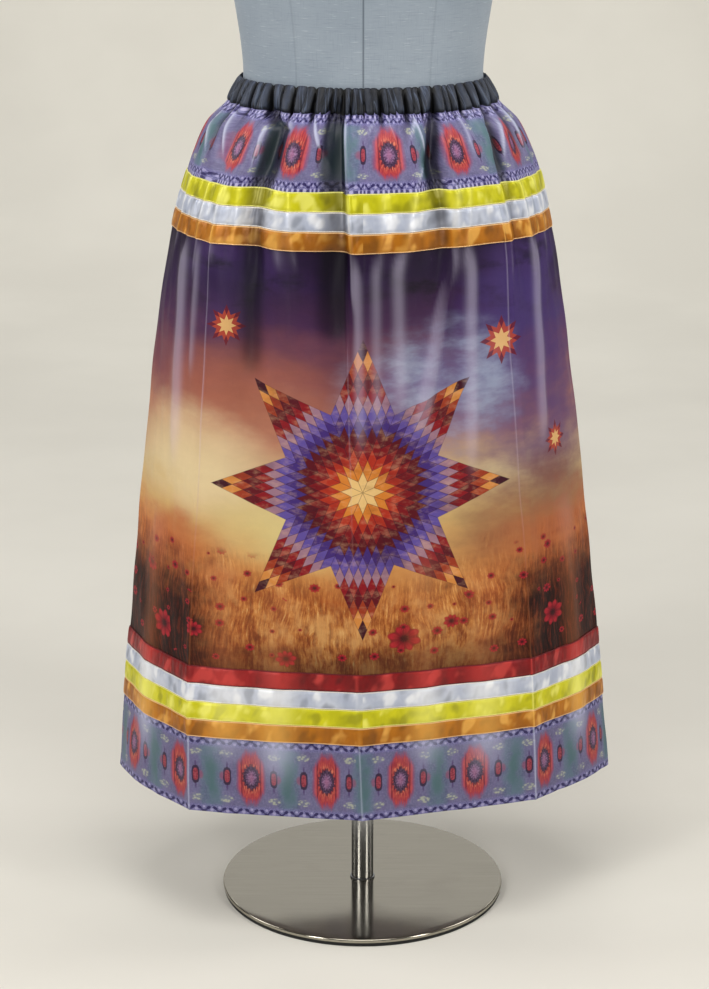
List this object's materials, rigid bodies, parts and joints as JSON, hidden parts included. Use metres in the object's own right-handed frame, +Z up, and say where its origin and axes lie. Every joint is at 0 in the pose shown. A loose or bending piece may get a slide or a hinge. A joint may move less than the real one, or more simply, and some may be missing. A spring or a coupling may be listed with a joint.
{
  "type": "ribbon skirt on a limbless dress form with a round stand",
  "caption": "Long A-line satin skirt with a gathered elastic waist, printed border bands and ribbon rows, worn by a limbless dress form on a round steel stand.",
  "frame": {"origin": "on the floor, under the centre of the stand's pole", "axes": "+Z up along the pole, -Y towards the front of the skirt, +X towards the skirt's right side as it is looked at from the front"},
  "size_m": [0.6108, 0.384, 1.5603],
  "materials": {
    "black_satin": "near-black satin with a soft sheen",
    "border_print": "satin printed with a lavender ikat border",
    "picture_print": "satin printed with a sunset wash and a star quilt medallion",
    "yellow_ribbon": "bright yellow satin ribbon",
    "white_ribbon": "white satin ribbon",
    "orange_ribbon": "golden orange satin ribbon",
    "red_ribbon": "deep red satin ribbon",
    "form_cloth": "grey-blue slubbed linen",
    "brushed_steel": "brushed stainless steel",
    "black_rubber": "black rubber"
  },
  "bodies": {
    "root": {"waistband": "black_satin", "upper_band_front": "border_print", "upper_band_back": "border_print", "ribbon_upper_yellow": "yellow_ribbon", "ribbon_upper_white": "white_ribbon", "ribbon_upper_orange": "orange_ribbon", "panel_front": "picture_print", "panel_back": "picture_print", "ribbon_lower_red": "red_ribbon", "ribbon_lower_white": "white_ribbon", "ribbon_lower_yellow": "yellow_ribbon", "ribbon_lower_orange": "orange_ribbon", "hem_band_front": "border_print", "hem_band_back": "border_print", "dress_form": "form_cloth", "neck_cap": "brushed_steel", "pole": "brushed_steel", "pole_ring": "brushed_steel", "base_plate": "brushed_steel", "base_pad": "black_rubber"}
  },
  "joints": []
}
